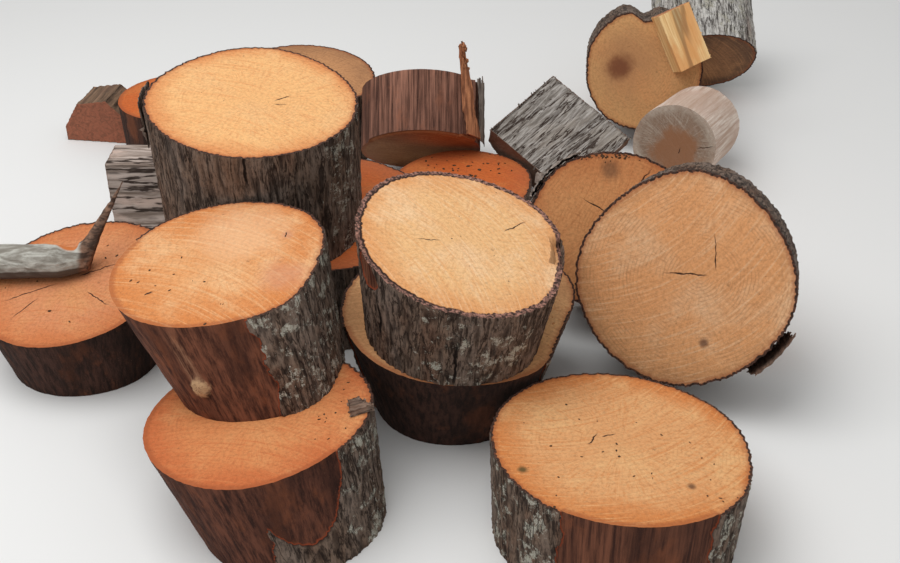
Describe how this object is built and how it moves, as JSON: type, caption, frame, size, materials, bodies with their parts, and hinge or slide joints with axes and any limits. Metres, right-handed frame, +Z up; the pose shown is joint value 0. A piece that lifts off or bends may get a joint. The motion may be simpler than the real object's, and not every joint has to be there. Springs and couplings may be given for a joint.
{
  "type": "heap of logs",
  "caption": "Loose heap of big sawn tree rounds: some stacked in pairs, some leaning on edge, with a bark slab, a split wedge and a weathered billet.",
  "frame": {"origin": "middle of the heap's bounding box, on the ground that the logs stand on", "axes": "+Z up; +X to the right and +Y away, seen from the side of the stacked pairs"},
  "size_m": [3.1592, 3.6826, 0.8472],
  "materials": {
    "log_wood": "raw sawn face, furrowed dark bark",
    "weathered_wood": "weathered grey",
    "pale_wood": "raw split"
  },
  "bodies": {
    "root": {"back_lower_round": "log_wood", "back_upper_round": "log_wood", "bark_slab": "log_wood", "far_left_round": "log_wood", "far_middle_round": "log_wood", "far_right_round": "log_wood", "front_lower_round": "log_wood", "front_upper_round": "log_wood", "left_round": "log_wood", "loose_bark": "log_wood", "middle_lower_round": "log_wood", "middle_upper_round": "log_wood", "orange_round": "log_wood", "right_round": "log_wood", "ringed_round": "log_wood", "second_tilted_round": "log_wood", "small_round": "log_wood", "split_chunk": "weathered_wood", "split_wedge": "pale_wood", "tilted_round": "log_wood", "tipped_round": "log_wood", "torn_limb": "log_wood", "weathered_billet": "weathered_wood"}
  },
  "joints": []
}
